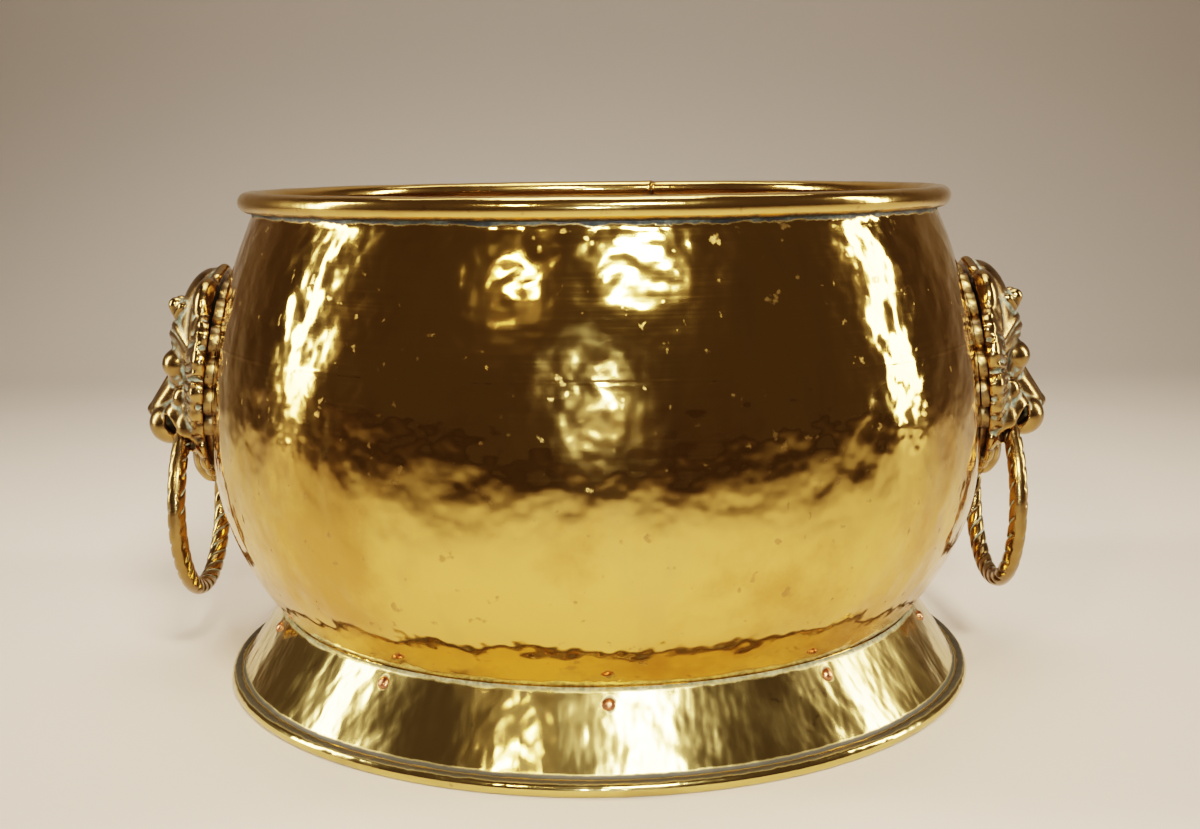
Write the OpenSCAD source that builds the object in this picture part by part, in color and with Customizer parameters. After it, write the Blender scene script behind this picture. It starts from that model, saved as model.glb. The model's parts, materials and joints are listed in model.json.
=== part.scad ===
// Hand-made brass planter pot with two lion-mask ring handles.
// Millimetres, +Z up, the pot stands on Z = 0 and is centred on the origin.
// The handles are on +X (right) and -X (left); the front faces -Y.
// Each sub-part is one module; set node to draw one of them alone.

/* [Body] */
// Outside radius of the belly
belly_r = 230.5; // [200:0.5:280]
// Height of the widest line of the belly
belly_z = 143; // [130:1:160]
// Radius of the wall's curve above the belly
upper_arc = 322; // [270:1:420]
// Radius of the wall's curve below the belly
lower_arc = 145; // [130:1:175]
// Thickness of the body sheet
wall = 1.6; // [1.2:0.1:2.2]
// Height where the curve ends and the short straight neck begins
neck_z = 276; // [262:1:290]
// Length of the straight neck that the rim bead grips
neck_length = 8; // [6:0.5:9]
// Thickness of the base sheet
base_thickness = 1.6; // [1.2:0.1:3]
// Height of the waist, where the wall turns out into its hem
waist_z = 44.2; // [38:0.2:52]
// Length of the hem that the foot is riveted to
hem_length = 17; // [14:0.5:20]

/* [Rim] */
// Radius of the rim bead, outside
rim_bead_r = 6; // [5.5:0.1:7.5]
// Thickness of the rim bead's sheet
rim_sheet = 1.1; // [0.8:0.1:1.4]
// How far the bead's centre stands outside the neck
rim_outset = 1.8; // [1.4:0.1:2.4]
// Radius of the iron wire inside the rim bead
rim_wire_r = 3; // [2:0.1:3.2]
// Direction of the joint in the rim bead, in degrees from +X
rim_joint_angle = 78; // [0:1:360]
// Width of the open joint in the rim bead
rim_joint_gap = 0.6; // [0.3:0.1:2]

/* [Foot] */
// How far the foot spreads outside the waist
foot_spread = 35.5; // [28:0.5:50]
// Radius of the bead round the bottom of the foot
foot_bead_r = 4; // [3.4:0.1:5]
// Depth worn off the underside of the foot bead
foot_wear = 0.35; // [0.2:0.05:0.6]
// Thickness of the foot sheet
foot_sheet = 1.5; // [1.2:0.1:2]
// Number of rivets round the foot
rivet_count = 10; // [6:1:16]
// Turn of the first rivet from the front, in degrees
rivet_turn = 1.4; // [0:0.1:36]
// Distance of the rivets down the hem from the waist
rivet_along = 9.5; // [7:0.5:11]
// Radius of a rivet's shank
rivet_r = 1.6; // [1.2:0.1:2]
// Radius of a rivet's domed head
rivet_head_r = 3.3; // [2.8:0.1:4.2]
// Height of a rivet's domed head
rivet_head_h = 1.9; // [1.2:0.1:2.4]
// Thickness of the burr under a rivet's tail
burr_thickness = 0.9; // [0.6:0.1:1.4]

/* [Masks] */
// Height of the lowest point of a mask
mask_bottom_z = 110; // [104:1:114]
// Height of a mask from its beard to its crest
mask_height = 134; // [112:1:150]
// Width of a mask across its mane
mask_width = 119; // [100:1:140]
// Radius of one lock of the mane
lock_r = 10.5; // [9:0.5:12]
// Number of locks on each side
locks_per_side = 7; // [5:1:9]
// Radius of the top lock
crest_r = 14; // [11:0.5:17]
// Radius of the lowest lock
beard_r = 11; // [9:0.5:12.5]
// Thickness of the back plate behind a mask
plate_thickness = 4.5; // [3:0.1:6]
// Gap between the back plate and the mane
plate_gap = 2.3; // [1:0.1:3]
// Thickness of the mane at its edge
mane_thickness = 4.5; // [3:0.1:5]
// How far the nose stands out from the belly line
nose_reach = 46.5; // [42:0.5:56]
// Thickness of the cast metal over the forehead
cast_thickness = 5; // [3.5:0.5:7]

/* [Rings] */
// Radius of a ring to the middle of its bar
ring_r = 54; // [46:0.5:62]
// Radius of the ring's bar
ring_bar_r = 5.5; // [4.5:0.1:6.2]
// How far the ring hangs outside the belly line
ring_standoff = 16.5; // [15.5:0.5:20]
// Height of the top of the ring, which it swings about
pivot_z = 154.5; // [148:0.5:160]
// Clearance between the ring and the jaw that holds it
jaw_gap = 0.4; // [0.3:0.05:1]

/* [Fixings] */
// Radius of a mask stud
stud_r = 2.5; // [2:0.1:3.2]
// Height of the upper stud
upper_stud_z = 205; // [196:1:212]
// Height of the lower stud
lower_stud_z = 121; // [118:1:126]
// Radius of a stud washer
washer_r = 8; // [6:0.5:10]
// Thickness of a stud washer
washer_thickness = 1.2; // [0.8:0.1:2]
// Width across a square nut
nut_width = 10; // [8:0.5:13]
// Thickness of a square nut
nut_thickness = 4.5; // [3.5:0.5:6]

/* [Hidden] */

$fa = 3;
$fs = 0.5;
fine = 256;         // facets round the large shells

far = 600;          // a size beyond the whole pot
over = 1;           // how far a cutter runs past what it cuts
seat_gap = 0.05;    // film of solder or air between seated pieces
hole_play = 0.1;    // a rivet or stud in its hole

brass = [0.80, 0.60, 0.24];
pale_brass = [0.84, 0.68, 0.32];
cast_brass = [0.52, 0.42, 0.20];
copper = [0.66, 0.36, 0.24];
iron = [0.22, 0.20, 0.19];

// Outside radius of the body's curve at height z
function body_r(z) = z >= belly_z
    ? belly_r - upper_arc + sqrt(pow(upper_arc, 2) - pow(z - belly_z, 2))
    : belly_r - lower_arc + sqrt(pow(lower_arc, 2) - pow(z - belly_z, 2));

// Angle of the wall's outward normal above the horizontal at height z
function wall_tilt(z) =
    asin((z - belly_z) / (z >= belly_z ? upper_arc : lower_arc));

neck_r = body_r(neck_z);
rim_c = [neck_r + rim_outset, neck_z + neck_length];
rim_hollow_r = rim_bead_r - rim_sheet;
rim_wire_c = [rim_c.x + rim_hollow_r - rim_wire_r - seat_gap, rim_c.y];

// The waist is a point in the middle of the wall; the hem and the foot
// both run down from it in the direction hem_angle.
lower_c = [belly_r - lower_arc, belly_z];
waist = [lower_c.x + sqrt(pow(lower_arc - wall / 2, 2) - pow(waist_z - belly_z, 2)),
         waist_z];
foot_bead_c = [waist.x + foot_spread - foot_bead_r, foot_bead_r - foot_wear];
foot_wire_r = foot_bead_r - foot_sheet - seat_gap;
roll_angle = 150;
roll_mid_r = foot_bead_r - foot_sheet / 2;
foot_end = foot_bead_c + roll_mid_r * [cos(roll_angle), sin(roll_angle)];
foot_mid_offset = wall / 2 + seat_gap + foot_sheet / 2;
hem_to_end = foot_end - waist;
hem_angle = atan2(hem_to_end.y, hem_to_end.x)
            - asin(foot_mid_offset / norm(hem_to_end));
foot_start = wall / 2 + 2 * seat_gap;
foot_length = sqrt(pow(norm(hem_to_end), 2) - pow(foot_mid_offset, 2)) - foot_start;

// Rivet heights along its own axis, from the middle of the hem
rivet_seat = wall / 2 + seat_gap + foot_sheet + seat_gap;
burr_top = -wall / 2 - seat_gap;
tail_top = burr_top - burr_thickness - seat_gap;
tail_r = rivet_r + 0.9;
tail_h = 1.1;
base_rise = 2.6;    // underside of the base above the waist

// Distances outward from the body's surface to the layers of a mask
plate_in = seat_gap;
plate_out = plate_in + plate_thickness;
mane_in = plate_out + plate_gap;
mane_out = mane_in + mane_thickness;

// The locks stand on an oval; their angles run from the top of the mane
mane_c = [0, mask_bottom_z + mask_height - crest_r - 43];
mane_a = mask_width / 2 - lock_r;
mane_b = 45;
first_lock = 24;
last_lock = 156;
chin_z = mask_bottom_z + 46;   // middle of the round lower mane
chin_r = 34;
beard_root = 20;               // length of the beard above its lowest lock
plate_inset = 1.2;             // how far the plate stays inside the mane
half_wedge = 25;               // angle each side of a mask's middle

pivot_x = belly_r + ring_standoff;
mouth_r = ring_bar_r + 9;
mouth_back = pivot_x - ring_bar_r - 2.5;
jaw_r = 8;
jaw_z = pivot_z - ring_bar_r - jaw_gap - jaw_r;
muzzle_back = belly_r + mane_in + 1;
muzzle_r = 20;
muzzle_rise = 4;       // the muzzle's middle above the ring's pivot
muzzle_length = nose_reach - 24;
jaw_length = nose_reach - 22;
nose_r = 7;
nose_rise = 5.5;
jowl_r = 13.5;
jowl_side = 12;
jowl_drop = 3.5;
jowl_out = nose_reach - 15;
brow_z = pivot_z + 32.5;
brow_r = 12;
brow_side = 13;
brow_out = 19;
bridge_r = 9;
bridge_length = 27;
bridge_lean = 150;     // angle of the nose bridge from straight up
bridge_out = 22;
forelock_r = 11;
forelock_z = brow_z + 29;
forelock_out = 15;
base_sink = 1.2;       // how deep a mass is sunk into the mane's back
face_z = brow_z + 4;
face_r = 33;
face_h = 21;
cheek_z = pivot_z + 19;
cheek_r = 15;
cheek_h = 9;
cheek_turn = 8;
chin_cap_r = beard_r + 1;
boss_r = 7;
stud_depth = 11;       // stud inside the mask, beyond the back plate
seat_sag = 0.15;       // hollow of the wall under a flat washer
nut_z = -wall - seat_sag - seat_gap - washer_thickness - seat_gap - nut_thickness;

// ------------------------------------------------------------ 2D outlines

// The body's solid of revolution in section, grown by off
module body_section(off) {
    intersection() {
        translate([belly_r - upper_arc, belly_z]) circle(r = upper_arc + off);
        translate([0, belly_z]) square([far, far]);
    }
    intersection() {
        translate(lower_c) circle(r = lower_arc + off);
        translate([0, belly_z - far]) square([far, far]);
    }
}

// The lower wall's band from the waist up to the belly
module lower_band() {
    intersection() {
        difference() {
            translate(lower_c) circle(r = lower_arc);
            translate(lower_c) circle(r = lower_arc - wall);
        }
        translate([0, belly_z - far]) square([far, far]);
        translate(lower_c)
            rotate(atan2(waist.y - lower_c.y, waist.x - lower_c.x))
                square([far, far]);
    }
}

// The upper wall's band from the belly up to the neck
module upper_band() {
    intersection() {
        difference() {
            translate([belly_r - upper_arc, belly_z]) circle(r = upper_arc);
            translate([belly_r - upper_arc, belly_z]) circle(r = upper_arc - wall);
        }
        translate([0, belly_z]) square([far, neck_z - belly_z]);
    }
}

// A strip that runs down the slope of the foot, from low to low + thick
module slope_strip(start, length, low, thick) {
    translate(waist) rotate(hem_angle)
        translate([start, low]) square([length, thick]);
}

// Scalloped outline of a mask, seen from outside, with Z up the page
module mane_outline(inset) {
    translate([0, mask_bottom_z + mask_height - crest_r]) circle(r = crest_r - inset);
    translate([0, mask_bottom_z + beard_r]) circle(r = beard_r - inset);
    translate(mane_c) circle(r = mane_b + over - inset);
    translate([0, chin_z]) circle(r = chin_r - inset);
    translate([inset + over - beard_r, mask_bottom_z + beard_r])
        square([2 * (beard_r - inset - over), beard_root]);
    for (side = [-1, 1], i = [0 : locks_per_side - 1]) {
        t = first_lock + (last_lock - first_lock) * i / (locks_per_side - 1);
        translate(mane_c + [side * mane_a * sin(t), mane_b * cos(t)])
            circle(r = lock_r - inset);
    }
}

// ------------------------------------------------------------- placements

module right_side() { children(); }

module left_side() { rotate([0, 0, 180]) children(); }

// Children stand on the wall at height z, with their +Z outward
module on_wall(z) {
    translate([body_r(z), 0, z]) rotate([0, 90 - wall_tilt(z), 0]) children();
}

module at_studs() {
    on_wall(upper_stud_z) children();
    on_wall(lower_stud_z) children();
}

// Children stand across the hem at every rivet, with their +Z outward
module at_rivets() {
    for (k = [0 : rivet_count - 1])
        rotate([0, 0, 270 + rivet_turn + 360 * k / rivet_count])
            translate([waist.x, 0, waist.y]) rotate([0, -hem_angle, 0])
                translate([rivet_along, 0, 0]) children();
}

// A wedge of the body's solid round +X, grown by off
module body_wedge(off) {
    rotate([0, 0, -half_wedge])
        rotate_extrude(angle = 2 * half_wedge, $fn = fine) intersection() {
            body_section(off);
            translate([belly_r / 2, waist_z]) square([far, far]);
        }
}

// The mask's outline as a prism along +X
module mane_prism(inset) {
    translate([belly_r - mask_width / 2, 0, 0]) rotate([90, 0, 90])
        linear_extrude(height = mask_width) mane_outline(inset);
}

// -------------------------------------------------------------- sub-parts

module body_shell() color(brass) difference() {
    rotate_extrude($fn = fine) {
        lower_band();
        upper_band();
        translate([neck_r - wall, neck_z - over]) square([wall, neck_length + over]);
        translate(waist) circle(r = wall / 2);
        slope_strip(0, hem_length, -wall / 2, wall);
    }
    at_rivets() translate([0, 0, -wall * 2])
        cylinder(h = wall * 4, r = rivet_r + hole_play);
    right_side() at_studs() translate([0, 0, -wall * 3])
        cylinder(h = wall * 5, r = stud_r + hole_play);
    left_side() at_studs() translate([0, 0, -wall * 3])
        cylinder(h = wall * 5, r = stud_r + hole_play);
}

// Flat disc let into the wall above the waist and soldered round its edge
module base_plate() color(brass) rotate_extrude() intersection() {
    translate(lower_c) circle(r = lower_arc - wall - seat_gap);
    translate([0, waist_z + base_rise]) square([far, base_thickness]);
}

// Split tube pushed down over the neck, with an open joint at the back
module rim_bead() color(brass) {
    joint_turn = rim_joint_gap / rim_c.x * 180 / PI;
    rotate([0, 0, rim_joint_angle + joint_turn / 2])
        rotate_extrude(angle = 360 - joint_turn) difference() {
            translate(rim_c) circle(r = rim_bead_r);
            translate(rim_c) circle(r = rim_hollow_r);
            translate([neck_r - wall - seat_gap, rim_c.y - far])
                square([wall + 2 * seat_gap, far]);
        }
}

module rim_wire() color(iron) rotate_extrude()
    translate(rim_wire_c) circle(r = rim_wire_r);

// Cone of sheet with its lower edge rolled outward round a wire
module foot_skirt() color(pale_brass) difference() {
    rotate_extrude() intersection() {
        union() {
            slope_strip(foot_start, foot_length, foot_mid_offset - foot_sheet / 2,
                        foot_sheet);
            difference() {
                translate(foot_bead_c) circle(r = foot_bead_r);
                translate(foot_bead_c) circle(r = foot_wire_r + seat_gap);
            }
        }
        square([far, far]);
    }
    at_rivets() cylinder(h = 4 * foot_sheet, r = rivet_r + hole_play);
}

module foot_wire() color(iron) rotate_extrude()
    translate(foot_bead_c) circle(r = foot_wire_r);

module foot_rivets() color(copper) at_rivets() {
    translate([0, 0, tail_top]) cylinder(h = rivet_seat - tail_top, r = rivet_r);
    translate([0, 0, rivet_seat]) dome(rivet_head_r, rivet_head_h);
    translate([0, 0, tail_top]) rotate([180, 0, 0]) dome(tail_r, tail_h);
}

// Cap of a ball, flat side down, with edge radius r and height h
module dome(r, h) {
    ball_r = (r * r + h * h) / (2 * h);
    rotate_extrude() intersection() {
        translate([0, h - ball_r]) circle(r = ball_r);
        square([r * 2, h]);
    }
}

module foot_rivet_burrs() color(copper) at_rivets()
    translate([0, 0, burr_top - burr_thickness]) difference() {
        cylinder(h = burr_thickness, r = rivet_head_r);
        translate([0, 0, -over])
            cylinder(h = burr_thickness + 2 * over, r = rivet_r + seat_gap);
    }

module backplate() color(cast_brass) difference() {
    intersection() {
        mane_prism(plate_inset);
        body_wedge(plate_out);
    }
    body_wedge(plate_in);
    at_studs() translate([0, 0, -wall])
        cylinder(h = plate_thickness + 4 * wall, r = stud_r + hole_play);
}

// Children stand on the mane at height z, turned side degrees off centre, with
// their flat base buried in the mane's thickness
module on_mane(z, side = 0) {
    rotate([0, 0, side]) on_wall(z)
        translate([0, 0, mane_in + base_sink]) children();
}

// Plain masses of the lion's head, each a ball, a cap or a bar
module head_masses() {
    on_mane(face_z) dome(face_r, face_h);
    on_mane(mask_bottom_z + beard_r + 2) dome(chin_cap_r, chin_cap_r);
    translate([belly_r + forelock_out, 0, forelock_z]) sphere(r = forelock_r);
    for (side = [-1, 1]) {
        on_mane(cheek_z, side * cheek_turn) dome(cheek_r, cheek_h);
        translate([belly_r + brow_out, side * brow_side, brow_z]) sphere(r = brow_r);
        translate([belly_r + jowl_out, side * jowl_side, pivot_z - jowl_drop])
            sphere(r = jowl_r);
    }
    translate([belly_r + nose_reach - nose_r, 0, pivot_z + nose_rise])
        sphere(r = nose_r);
    translate([belly_r + bridge_out, 0, brow_z]) rotate([0, bridge_lean, 0])
        cylinder(h = bridge_length, r = bridge_r);
    translate([muzzle_back, 0, pivot_z + muzzle_rise]) rotate([0, 90, 0])
        cylinder(h = muzzle_length, r = muzzle_r);
}

// Room behind the jowls for the top of the ring, open at both sides
module mouth_room() {
    intersection() {
        translate([mouth_back, -face_r * 2, pivot_z - face_r])
            cube([face_r, face_r * 4, face_r * 2]);
        translate([pivot_x, face_r * 1.5, pivot_z]) rotate([90, 0, 0])
            cylinder(h = face_r * 3, r = mouth_r);
    }
}

// Lion's head cast with its mane, hollow behind the forehead and the mouth
module mask() color(cast_brass) difference() {
    union() {
        difference() {
            union() {
                difference() {
                    intersection() {
                        mane_prism(0);
                        body_wedge(mane_out);
                    }
                    body_wedge(mane_in);
                }
                head_masses();
            }
            on_wall(face_z) translate([0, 0, plate_out])
                dome(face_r - 2 * cast_thickness, face_h - cast_thickness);
            mouth_room();
        }
        translate([muzzle_back, 0, jaw_z]) rotate([0, 90, 0])
            cylinder(h = jaw_length, r = jaw_r);
        on_wall(upper_stud_z) translate([0, 0, plate_out + seat_gap])
            cylinder(h = face_h - over, r = boss_r);
        on_wall(lower_stud_z) translate([0, 0, plate_out + seat_gap])
            cylinder(h = stud_depth + 2, r = boss_r);
    }
    at_studs() cylinder(h = plate_out + stud_depth + 0.5, r = stud_r + seat_gap);
}

// Round bar bent to a circle; it hangs straight down from the jaw
module ring() color(cast_brass)
    translate([pivot_x, 0, pivot_z - ring_r]) rotate([0, 90, 0])
        rotate_extrude() translate([ring_r, 0]) circle(r = ring_bar_r);

module mask_studs() color(brass) at_studs()
    translate([0, 0, nut_z - 2])
        cylinder(h = plate_out + stud_depth - nut_z + 2, r = stud_r);

module stud_washers() color(brass) at_studs()
    translate([0, 0, nut_z + nut_thickness + seat_gap]) difference() {
        cylinder(h = washer_thickness, r = washer_r);
        translate([0, 0, -over])
            cylinder(h = washer_thickness + 2 * over, r = stud_r + hole_play);
    }

module stud_nuts() color(brass) at_studs()
    translate([0, 0, nut_z]) difference() {
        translate([-nut_width / 2, -nut_width / 2, 0])
            cube([nut_width, nut_width, nut_thickness]);
        translate([0, 0, -over])
            cylinder(h = nut_thickness + 2 * over, r = stud_r + seat_gap);
    }

body_shell();
base_plate();
rim_bead();
rim_wire();
foot_skirt();
foot_wire();
foot_rivets();
foot_rivet_burrs();
left_side() backplate();  // backplate_left
right_side() backplate();  // backplate_right
left_side() mask();  // mask_left
right_side() mask();  // mask_right
left_side() ring();  // ring_left
right_side() ring();  // ring_right
left_side() mask_studs();  // mask_studs_left
right_side() mask_studs();  // mask_studs_right
left_side() stud_washers();  // stud_washers_left
right_side() stud_washers();  // stud_washers_right
left_side() stud_nuts();  // stud_nuts_left
right_side() stud_nuts();  // stud_nuts_right
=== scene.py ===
# %% [markdown]
# # A brass planter pot with two lion-mask ring handles
#
# This lesson dresses a measured model of the pot. The model fixes where every
# piece sits and how the two rings swing. Here each visible piece gets the shape
# a coppersmith's hammer and a foundry leave, and a metal to match.
# Everything is in metres, with Z up and the front of the pot facing -Y.

# %% Load the measured model
import math
import random

import bmesh
import bpy
import numpy as np
from mathutils import Matrix, Quaternion, Vector, noise
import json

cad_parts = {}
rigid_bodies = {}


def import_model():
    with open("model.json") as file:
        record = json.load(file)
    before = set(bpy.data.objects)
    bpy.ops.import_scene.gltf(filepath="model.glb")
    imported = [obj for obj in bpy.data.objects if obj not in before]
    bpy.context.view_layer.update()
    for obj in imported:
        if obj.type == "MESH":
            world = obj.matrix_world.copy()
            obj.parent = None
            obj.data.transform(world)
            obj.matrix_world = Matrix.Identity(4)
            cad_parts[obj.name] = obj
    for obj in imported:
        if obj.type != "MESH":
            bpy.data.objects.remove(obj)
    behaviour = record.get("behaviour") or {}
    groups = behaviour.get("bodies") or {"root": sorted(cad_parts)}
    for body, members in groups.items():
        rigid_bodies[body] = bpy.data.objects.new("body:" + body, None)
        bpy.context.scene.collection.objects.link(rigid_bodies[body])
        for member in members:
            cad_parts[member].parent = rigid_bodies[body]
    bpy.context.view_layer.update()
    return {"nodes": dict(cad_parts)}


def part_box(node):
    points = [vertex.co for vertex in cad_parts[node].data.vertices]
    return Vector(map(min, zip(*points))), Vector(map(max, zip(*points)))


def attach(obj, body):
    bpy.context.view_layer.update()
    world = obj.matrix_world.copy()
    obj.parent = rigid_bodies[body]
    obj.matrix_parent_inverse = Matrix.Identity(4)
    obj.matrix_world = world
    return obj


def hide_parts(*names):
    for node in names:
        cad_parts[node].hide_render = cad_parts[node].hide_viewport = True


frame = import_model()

MM = 0.001
print("nodes:", len(frame["nodes"]))

# %% [markdown]
# ## Sizes
#
# The main sizes are read from the measured pieces, so the new shapes land on
# the old ones. The wall is two arcs that meet at the widest line of the belly.

# %% Read the sizes
BELLY_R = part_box("body_shell")[1][1]
NECK_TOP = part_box("body_shell")[1][2]
RIM_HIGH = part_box("rim_bead")[1]
RIM_TUBE_R = 6.0 * MM
RIM_R = RIM_HIGH[0] - RIM_TUBE_R
RIM_Z = RIM_HIGH[2] - RIM_TUBE_R
FOOT_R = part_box("foot_skirt")[1][0]
FOOT_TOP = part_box("foot_skirt")[1][2]
RING_LOW, RING_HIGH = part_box("ring_right")
RING_X = (RING_LOW[0] + RING_HIGH[0]) / 2
RING_Z = (RING_LOW[2] + RING_HIGH[2]) / 2
BAR_R = (RING_HIGH[0] - RING_LOW[0]) / 2
RING_R = (RING_HIGH[2] - RING_LOW[2]) / 2 - BAR_R
PIVOT_Z = RING_Z + RING_R

BELLY_Z = 143 * MM
UPPER_ARC = 322 * MM
LOWER_ARC = 145 * MM
WALL = 1.6 * MM
WAIST_Z = 44.2 * MM
NECK_Z = NECK_TOP - 8 * MM
PLATE_OUT = 4.55 * MM
RIM_JOINT = math.radians(78)
print("belly", round(BELLY_R, 4), "rim", round(RIM_R, 4), "ring", round(RING_R, 4))


def arc_at(z):
    """Radius and centre of the wall's curve at a height."""
    arc = UPPER_ARC if z >= BELLY_Z else LOWER_ARC
    return arc, BELLY_R - arc


def wall_r(z, out=0.0):
    """Radius of the pot at a height, on the surface moved out by a distance."""
    arc, middle = arc_at(z)
    return middle + math.sqrt(max((arc + out) ** 2 - (z - BELLY_Z) ** 2, 0))


def depth_of(p):
    """Distance of a point outside the pot's wall, and the way out there."""
    radius = math.hypot(p.x, p.y)
    arc, middle = arc_at(p.z)
    across = radius - middle
    up = p.z - BELLY_Z
    reach = math.hypot(across, up)
    way = Vector((across / reach * p.x / radius,
                  across / reach * p.y / radius, up / reach))
    return reach - arc, way


def on_wall(y, z, out):
    """Point beside the centre line of the right handle, out from the wall."""
    radius = wall_r(z)
    foot = Vector((math.sqrt(radius ** 2 - y ** 2), y, z))
    return foot + depth_of(foot)[1] * out


# %% [markdown]
# ## Small tools for making meshes
#
# A turned piece starts as the outline of its section. Spinning the outline
# once round the Z axis gives the whole piece.

# %% Mesh tools


def mesh_of(name, shape):
    """Turns a bmesh into a mesh, and lets the bmesh go."""
    mesh = bpy.data.meshes.new(name)
    shape.to_mesh(mesh)
    shape.free()
    return mesh


def put_in_scene(name, data):
    """A new object in the scene that shows a mesh, a light or a camera."""
    piece = bpy.data.objects.new(name, data)
    bpy.context.scene.collection.objects.link(piece)
    return piece


def finish_piece(name, shape, smooth=True):
    """Turns a bmesh into a named object with outward faces."""
    bmesh.ops.recalc_face_normals(shape, faces=shape.faces)
    mesh = mesh_of(name, shape)
    for face in mesh.polygons:
        face.use_smooth = smooth
    return put_in_scene(name, mesh)


def other_side(piece, name):
    """A copy of a piece of the right handle, turned half round to the left."""
    copy = put_in_scene(name, piece.data.copy())
    copy.data.transform(Matrix.Rotation(math.pi, 4, "Z"))
    return copy


def spin_outline(outline, steps, angle=2 * math.pi, start=0.0):
    """Spins a closed outline of (radius, height) points round Z."""
    shape = bmesh.new()
    points = [shape.verts.new((r * math.cos(start), r * math.sin(start), z))
              for r, z in outline]
    edges = [shape.edges.new((points[i - 1], points[i])) for i in range(len(points))]
    whole = abs(angle - 2 * math.pi) < 1e-6
    if not whole:
        bmesh.ops.contextual_create(shape, geom=edges)
    first = shape.faces[:] if not whole else []
    bmesh.ops.spin(shape, geom=points + edges + first, cent=(0, 0, 0), axis=(0, 0, 1),
                   angle=angle, steps=steps, use_merge=whole)
    return shape


def arc_points(centre, radius, start, end, count):
    """Points along an arc in the section, angles in degrees."""
    middle_r, middle_z = centre
    turns = [math.radians(start + (end - start) * i / (count - 1)) for i in range(count)]
    return [(middle_r + radius * math.cos(t), middle_z + radius * math.sin(t))
            for t in turns]


def shifted(point, way, far):
    """A point of the section, moved some distance along a direction."""
    return point[0] + way.x * far, point[1] + way.y * far


def fade(value, least=0):
    """A value held between least and 1."""
    return min(max(value, least), 1)


def line_points(a, b, count):
    """Points from a to b, both ends included."""
    return [(a[0] + (b[0] - a[0]) * i / (count - 1), a[1] + (b[1] - a[1]) * i / (count - 1))
            for i in range(count)]


def mark(mesh, name, values):
    """Stores one number per vertex, for the materials to read."""
    layer = mesh.attributes.new(name, "FLOAT", "POINT")
    layer.data.foreach_set("value", np.asarray(values, dtype=np.float32))


def ride_with(piece, body, slot_name, *nodes):
    """Ties a finished piece to its body and hides the nodes it replaces; slot_name is not used.
    """
    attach(piece, body)
    if nodes:
        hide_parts(*nodes)
    print(piece.name, len(piece.data.polygons), "faces")


# %% [markdown]
# ## The body
#
# The wall is a thin shell: the outline runs up the outside and back down the
# inside. Sheet raised over a stake is never quite round, so the wall wanders by
# half a millimetre, and a few knocks have left shallow dents.

# %% Outline of the body
low_turn = math.degrees(math.asin((WAIST_Z - BELLY_Z) / LOWER_ARC))
high_turn = math.degrees(math.asin((NECK_Z - BELLY_Z) / UPPER_ARC))
low_centre = (BELLY_R - LOWER_ARC, BELLY_Z)
high_centre = (BELLY_R - UPPER_ARC, BELLY_Z)
outer = arc_points(low_centre, LOWER_ARC, low_turn, 0, 44)
outer += arc_points(high_centre, UPPER_ARC, 0, high_turn, 44)[1:]
neck_out = outer[-1][0]
outer += line_points((neck_out, NECK_Z), (neck_out, NECK_TOP), 4)[1:]
inner = line_points((neck_out - WALL, NECK_TOP), (neck_out - WALL, NECK_Z), 4)
inner += arc_points(high_centre, UPPER_ARC - WALL, high_turn, 0, 36)[1:]
inner += arc_points(low_centre, LOWER_ARC - WALL, 0, low_turn, 36)[1:]
waist = ((outer[0][0] + inner[-1][0]) / 2, (outer[0][1] + inner[-1][1]) / 2)
print("outline points:", len(outer) + len(inner))

# %% Spin the body and let it wander
DENTS = random.Random(7)
DENT_COUNT = 26
dents = []
for _ in range(DENT_COUNT):
    turn = DENTS.uniform(-math.pi, math.pi)
    height = DENTS.uniform(0.07, 0.26)
    spot = Vector((wall_r(height) * math.cos(turn), wall_r(height) * math.sin(turn), height))
    dents.append((spot, DENTS.uniform(3.5, 9) * MM, DENTS.uniform(-0.35, 0.55) * MM))


def wander(p):
    """How far the hammered wall stands off its true curve at a point."""
    slow = noise.noise(p * 9) * 0.75 * MM
    blows = noise.noise(p * 24 + Vector((3, 1, 7))) * 0.48 * MM
    knocks = 0.0
    for spot, size, deep in dents:
        far = (p - spot).length / size
        if far < 2.5:
            knocks -= deep * math.exp(-far * far)
    return slow + blows + knocks


def calm(z):
    """Fades the wandering out at the waist and at the neck."""
    return fade((z - WAIST_Z) / (26 * MM)) * fade((NECK_TOP - z) / (22 * MM))


body_shape = spin_outline(outer + inner, 384)
inside = []
for v in body_shape.verts:
    skin = wall_r(min(v.co.z, NECK_Z)) - math.hypot(v.co.x, v.co.y)
    inside.append(1.0 if skin > WALL * 0.6 else 0.0)
    flat = Vector((v.co.x, v.co.y, 0)).normalized()
    shift = wander(flat * wall_r(v.co.z) + Vector((0, 0, v.co.z))) * calm(v.co.z)
    v.co += flat * shift
pot_body = finish_piece("pot_body", body_shape)
mark(pot_body.data, "inside", inside)
ride_with(pot_body, "pot", "body_brass", "body_shell")

# %% [markdown]
# ## The hem under the waist
#
# Below the waist the wall turns out again. The foot is riveted to this hem. It
# is a piece of its own here, as two plain outlines are easier to draw than one.

# %% Hem
HEM_TURN = math.radians(-55.5)
HEM_LENGTH = 17 * MM
hem_down = Vector((math.cos(HEM_TURN), math.sin(HEM_TURN)))
hem_out = Vector((-hem_down.y, hem_down.x))
hem_end = shifted(waist, hem_down, HEM_LENGTH)
side = hem_out * (WALL / 2)
hem_outline = [shifted(waist, side, 1), shifted(hem_end, side, 1),
               shifted(hem_end, side, -1), shifted(waist, side, -1)]
hem = finish_piece("pot_hem", spin_outline(hem_outline, 256), smooth=False)
ride_with(hem, "pot", "body_brass")

# %% [markdown]
# ## The rim
#
# The rim is a split tube over a wire. Its two ends almost meet at the back, one
# standing a little proud of the other.

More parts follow.
